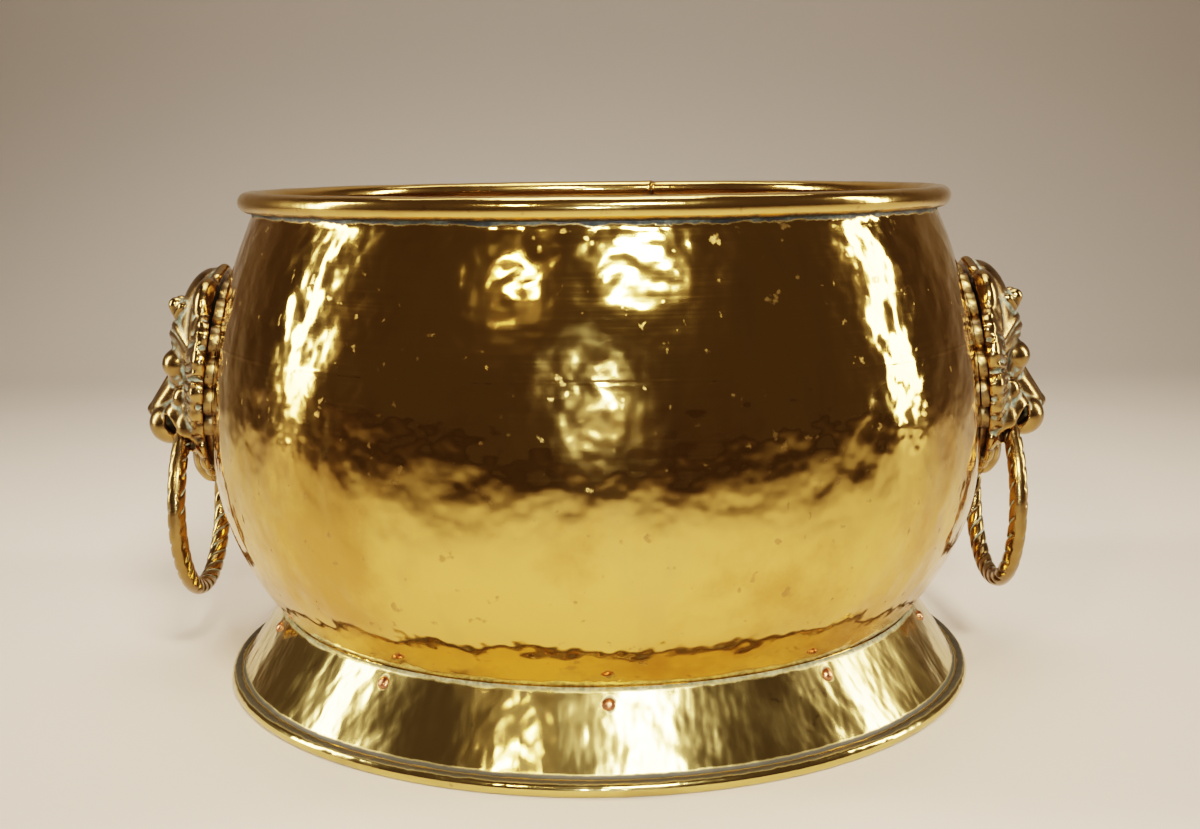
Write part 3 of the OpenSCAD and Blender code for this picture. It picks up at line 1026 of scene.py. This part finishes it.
# The band's colour: near-black painted shade with patches of green verdigris.
shade_and_verdigris = body.mix(body.times(green["Patches"], 0.3), (0.03, 0.03, 0.03), green["Color"])
gold = body.mix(rim_shade_and_crust, gold, shade_and_verdigris)
body.to("Base Color", gold)
rough = body.times(body.step(lines["Lines"], 0.4, 0.75), 0.02)
rough = body.plus(rough, body.times(tarnish["Clouds"], 0.06))
rough = body.plus(rough, body.times(tarnish["Spots"], 0.2))
rough = body.plus(rough, body.times(body.attribute("inside"), 0.30))
rough = body.plus(rough, body.times(rim_shade_and_crust, 0.45))
body.to("Roughness", body.plus(rough, 0.065))
body.to("Metallic", body.op("SUBTRACT", 1.0, body.times(rim_shade_and_crust, 0.8)))
fine_lines = body.times(lines["Upright"], 0.000004)
crusty = body.times(body.times(green["Patches"], rim_shade_and_crust), 0.0003)
# A faint ridge runs round the pot where two courses of hammering met.
RIDGE_Z = 0.2045
off_ridge = body.op("ABSOLUTE", body.op("SUBTRACT", body.axes()["Z"], RIDGE_Z))
ridge = body.times(body.step(off_ridge, 0.0016, 0.0), 0.00007)
heights = body.plus(body.plus(hammer, fine_lines), body.plus(crusty, ridge))
body.bump(heights)
body.on(pot_body, hem)

# %% [markdown]
# The rim is rubbed brighter and is gently dinged. Its underside is painted dark as shade.

# %% Rim brass
bright = Metal("rim brass", roughness=0.16)
tarnish = bright.group("tarnish")
lines = bright.group("lines")
# The underside of the rim tube is painted near black: painted shade.
underside_shade = bright.group("seam", Low=0.2805, High=0.2785, Ragged=0.004)["Mask"]
gold = bright.mix(tarnish["Clouds"], (0.80, 0.52, 0.17), (0.55, 0.33, 0.10))
gold = bright.mix(bright.times(tarnish["Spots"], 0.5), gold, (0.30, 0.17, 0.07))
gold = bright.mix(underside_shade, gold, (0.06, 0.06, 0.05))
bright.to("Base Color", gold)
rough = bright.times(tarnish["Clouds"], 0.12)
rough = bright.plus(rough, bright.times(underside_shade, 0.4))
bright.to("Roughness", bright.plus(rough, 0.12))
dings = bright.noise(95, 2.0)
bright.bump(bright.plus(bright.times(dings, 0.00022), bright.times(lines["Upright"], 0.00001)))
bright.on(rim)

# %% [markdown]
# The foot's sheet is a paler brass. It carries a green line at the top, a dark
# line of painted shade in the crease over its rolled edge, and a dark ring
# round each rivet.

# %% Paler brass of the foot
pale = Metal("foot brass", roughness=0.18)
tarnish = pale.group("tarnish")
lines = pale.group("lines")
green = pale.group("verdigris")
top_dirt = pale.group("seam", Low=0.0425, High=0.0448, Ragged=0.003)["Mask"]
# A thin dark line in the crease just above the rolled edge is painted shade.
crease_shade_low = pale.group("seam", Low=0.0066, High=0.0074, Ragged=0.0016)["Mask"]
bead_top = pale.group("seam", Low=0.0098, High=0.0084, Ragged=0.0016)["Mask"]
crease_shade_line = pale.times(crease_shade_low, bead_top)
# Distance from the nearest rivet, by folding the turn into one tenth
HALF_STEP = math.pi / RIVET_COUNT
axes = pale.axes()
turned = pale.op("ARCTAN2", axes["Y"], axes["X"])
turned = pale.op("SUBTRACT", turned, RIVET_TURN - 4 * math.pi - HALF_STEP)
turned = pale.op("SUBTRACT", pale.op("MODULO", turned, 2 * HALF_STEP), HALF_STEP)
beside = pale.times(turned, RIVET_CIRCLE)
above = pale.op("SUBTRACT", axes["Z"], RIVET_Z)
apart_by = pale.op("SQRT", pale.plus(pale.times(beside, beside), pale.times(above, above)))
jag = pale.times(pale.noise(160, 3.0), 0.004)
halo = pale.step(pale.plus(apart_by, jag), 0.0064, 0.0047)
gold = pale.mix(tarnish["Clouds"], (0.70, 0.53, 0.20), (0.50, 0.36, 0.13))
gold = pale.mix(pale.times(tarnish["Streaks"], 0.4), gold, (0.44, 0.34, 0.14))
gold = pale.mix(pale.times(tarnish["Spots"], 0.6), gold, (0.30, 0.20, 0.09))
gold = pale.mix(pale.times(halo, 0.8), gold, (0.07, 0.07, 0.055))
gold = pale.mix(crease_shade_line, gold, (0.06, 0.055, 0.04))
gold = pale.mix(pale.times(top_dirt, 0.85), gold, green["Color"])
pale.to("Base Color", gold)
dull = pale.plus(pale.times(halo, 0.3),
                 pale.times(pale.plus(top_dirt, crease_shade_line, True), 0.4))
rough = pale.plus(dull, pale.times(tarnish["Clouds"], 0.08))
rough = pale.plus(rough, pale.times(tarnish["Streaks"], 0.08))
pale.to("Roughness", pale.plus(rough, 0.13))
pale.to("Metallic", pale.op("SUBTRACT", 1.0, pale.times(dull, 1.2), True))
upright = pale.stretched_noise((60, 60, 16))
heights = pale.times(upright, 0.0012)
heights = pale.plus(heights, pale.times(lines["Upright"], 0.000006))
pale.bump(heights)
pale.on(foot)

# %% [markdown]
# Cast brass is darker. The attributes measured above put dirt, painted shade
# and deposit in the hollows, and a rubbed shine on the high spots.

# %% Cast brass of the masks and rings


def cast_metal(name, deposit, shine):
    """Old cast brass that reads the hollow attributes."""
    cast = Metal(name, roughness=0.3)
    tarnish = cast.group("tarnish")
    green = cast.group("verdigris")
    fine = cast.attribute("fine_hollow")
    broad = cast.attribute("broad_hollow")
    cloud = cast.noise(110, 4.0, 0.6)
    uneven = cast.times(cast.op("SUBTRACT", cloud, 0.5), 0.5)
    # The broad hollows are painted dark: dirt, and painted shade in the recesses.
    dirt_and_shade = cast.step(cast.plus(broad, uneven), -0.10, 0.55)
    crack = cast.step(cast.plus(fine, cast.times(uneven, 0.15)), 0.02, 0.085)
    high = cast.step(cast.plus(broad, uneven), -0.15, -1.0)
    brass = cast.mix(tarnish["Clouds"], (0.27, 0.165, 0.062), (0.17, 0.105, 0.045))
    brass = cast.mix(cast.times(high, shine), brass, (0.52, 0.335, 0.12))
    # Dark brown in the broad hollows: dirt and painted shade.
    brass = cast.mix(dirt_and_shade, brass, (0.05, 0.04, 0.025))
    patches = cast.times(green["Patches"], deposit, True)
    chalk = cast.times(cast.op("MAXIMUM", crack, cast.times(dirt_and_shade, 0.6)), patches)
    brass = cast.mix(chalk, brass, green["Color"])
    cast.to("Base Color", brass)
    cast.to("Metallic", cast.op("SUBTRACT", 1.0, cast.times(chalk, 0.95)))
    rough = cast.plus(cast.times(dirt_and_shade, 0.22), cast.times(chalk, 0.35))
    rough = cast.op("SUBTRACT", rough, cast.times(high, 0.10))
    cast.to("Roughness", cast.plus(rough, 0.26))
    grain = cast.noise(520, 3.0, 0.6)
    pits = cast.noise(150, 2.0, 0.5)
    cast.bump(cast.plus(cast.times(grain, 0.00012), cast.times(pits, 0.00025)), 0.8)
    return cast


cast_metal("mask brass", deposit=0.9, shine=0.7).on(mask_right, mask_left)
cast_metal("ring brass", deposit=1.6, shine=0.8).on(ring_right, ring_left)

# %% [markdown]
# The small parts share one dull metal. A stain tints it, specks pit it and a
# stretched noise stands for file marks, and only the colours differ.

# %% Plates, rivets, wires, studs, washers and nuts


def plain_old_metal(name, bright, dark, roughness, grain_size, rusty=False):
    """A dull metal with stains, file marks and pits for the small parts."""
    small = Metal(name, roughness=roughness, metallic=0.6 if rusty else 1.0)
    stain = small.noise(grain_size, 5.0, 0.65)
    speck = small.noise(grain_size * 6, 2.0)
    tint = small.mix(small.step(stain, 0.38, 0.66), bright, dark)
    tint = small.mix(small.step(speck, 0.62, 0.72), tint, tuple(c * 0.4 for c in dark))
    small.to("Base Color", tint)
    small.to("Roughness", small.plus(small.times(stain, 0.3), roughness - 0.15))
    filed = small.stretched_noise((300, 900, 120))
    small.bump(small.plus(small.times(speck, 0.00012), small.times(filed, 0.00003)))
    return small


def on_nodes(metal, *nodes):
    """Puts a material on measured pieces that are kept as they are."""
    metal.on(*(frame["nodes"][n] for n in nodes))


plates = [p for p in bpy.data.objects if p.name.startswith("plate_")]
plain_old_metal("plate brass", (0.33, 0.215, 0.08), (0.15, 0.10, 0.05), 0.34, 70).on(*plates)
plain_old_metal("copper", (0.58, 0.25, 0.13), (0.30, 0.13, 0.07), 0.30, 260).on(rivets)
on_nodes(plain_old_metal("burr copper", (0.50, 0.24, 0.14), (0.22, 0.12, 0.08), 0.45, 180),
         "foot_rivet_burrs")
on_nodes(plain_old_metal("iron wire", (0.16, 0.12, 0.10), (0.22, 0.09, 0.04), 0.6, 150, True),
         "rim_wire", "foot_wire")
FIXINGS = [kind + side_name for side_name in ("left", "right")
           for kind in ("mask_studs_", "stud_washers_", "stud_nuts_")]
on_nodes(plain_old_metal("stud brass", (0.56, 0.39, 0.16), (0.28, 0.19, 0.09), 0.4, 150),
         *FIXINGS)

# %% [markdown]
# The floor of the pot has held wet earth, so its brass is brown, with a pale
# tide mark near the edge.

# %% Stained base sheet
base = Metal("base brass", roughness=0.5)
tarnish = base.group("tarnish")
green = base.group("verdigris")
axes = base.axes()
out_from = base.op("SQRT", base.plus(base.times(axes["X"], axes["X"]),
                                     base.times(axes["Y"], axes["Y"])))
tide_jag = base.times(base.noise(22, 4.0), 0.03)
tide = base.step(base.plus(out_from, tide_jag), 0.160, 0.186)
brown = base.mix(tarnish["Clouds"], (0.30, 0.20, 0.09), (0.14, 0.09, 0.05))
tide_mark = base.times(base.times(tide, green["Patches"]), 0.35)
brown = base.mix(tide_mark, brown, green["Color"])
base.to("Base Color", brown)
base.to("Roughness", base.plus(base.times(tarnish["Clouds"], 0.2), 0.42))
base.bump(base.times(base.noise(60, 4.0), 0.0006))
on_nodes(base, "base_plate")

# %% [markdown]
# ## The studio
#
# A pale floor curves up into a wall. Two tall soft lights at the sides draw long
# highlights on the metal, small ones in front give the short bright marks, and
# wide ones above light the floor, the inside and the wall.

# %% Floor and wall
floor_shape = bmesh.new()
FLOOR_HALF = 14.0
WALL_Y = 1.2
WALL_TOP = 3.5
BEND_R = 0.5
profile = [(-FLOOR_HALF, 0.0), (WALL_Y, 0.0)]
profile += arc_points((WALL_Y, BEND_R), BEND_R, -90, 0, 13)[1:]
profile += [(WALL_Y + BEND_R, WALL_TOP)]
points = [floor_shape.verts.new((-FLOOR_HALF, y, z)) for y, z in profile]
edges = [floor_shape.edges.new((points[i], points[i + 1])) for i in range(len(points) - 1)]
swept = bmesh.ops.extrude_edge_only(floor_shape, edges=edges)
far_side = [g for g in swept["geom"] if isinstance(g, bmesh.types.BMVert)]
bmesh.ops.translate(floor_shape, verts=far_side, vec=(2 * FLOOR_HALF, 0, 0))
floor = finish_piece("studio_floor", floor_shape)
paper = Metal("pale paper", roughness=0.75, metallic=0.0)
paper.shader.inputs["Base Color"].default_value = (0.62, 0.56, 0.50, 1)
paper.on(floor)

# %% Lights


def soft_light(name, at, aim, size, size_y, power, colour=(1, 1, 1), spread=180):
    """A rectangular area light that faces a point; spread is in degrees."""
    lamp = bpy.data.lights.new(name, "AREA")
    lamp.shape = "RECTANGLE"
    lamp.size = size
    lamp.size_y = size_y
    lamp.energy = power
    lamp.color = colour
    lamp.spread = math.radians(spread)
    holder = put_in_scene(name, lamp)
    holder.location = at
    holder.rotation_euler = (Vector(aim) - Vector(at)).to_track_quat("-Z", "Y").to_euler()
    print(name, power, "watts")


soft_light("soft top", (0.5, -1.9, 1.7), (0, 0, 0.15), 0.55, 0.3, 4.5, (1.0, 0.90, 0.74), 40)
soft_light("lamp left", (-0.9, -1.9, 1.5), (0, 0, 0.2), 0.2, 0.16, 1.0, (1.0, 0.78, 0.5), 40)
soft_light("tall left", (-2.2, 0.0, 0.9), (0, 0, 0.2), 0.3, 1.6, 9, (1.0, 0.88, 0.72), 70)
soft_light("tall right", (2.3, 0.1, 0.9), (0, 0, 0.2), 0.3, 1.6, 8, (1.0, 0.86, 0.70), 70)
soft_light("front lamp", (0.02, -2.4, 0.62), (0, 0, 0.2), 0.16, 0.12, 1.2, (0.95, 0.98, 1.0), 40)
soft_light("overhead", (0, 0.25, 2.2), (0, 0.3, 0), 1.2, 0.8, 7, (1.0, 0.92, 0.82), 95)
soft_light("back wash", (0, 0.9, 2.3), (0, 1.5, 0.5), 2.5, 0.5, 13, (1.0, 0.86, 0.74))
world = bpy.data.worlds.new("room")
world.use_nodes = True
dim_room = world.node_tree.nodes["Background"]
dim_room.inputs["Color"].default_value = (0.30, 0.22, 0.15, 1)
dim_room.inputs["Strength"].default_value = 0.22
bpy.context.scene.world = world

# %% [markdown]
# ## Camera
#
# The camera stands a little above the rim and looks slightly down, with the
# small tilt of a hand-held shot.

# %% Camera
lens = bpy.data.cameras.new("camera")
lens.lens = 45
lens.sensor_width = 36
camera = put_in_scene("camera", lens)
LOOK_DOWN = math.radians(9.77)
TILT = math.radians(-0.6)
level = Quaternion((1, 0, 0), math.radians(90) - LOOK_DOWN)
camera.rotation_euler = (level @ Quaternion((0, 0, 1), TILT)).to_euler()
camera.location = (0.002, -0.912, 0.308)
bpy.context.scene.camera = camera
print("camera at", tuple(camera.location))
bpy.context.scene.view_settings.view_transform = "Filmic"
bpy.context.scene.view_settings.look = "Medium High Contrast"
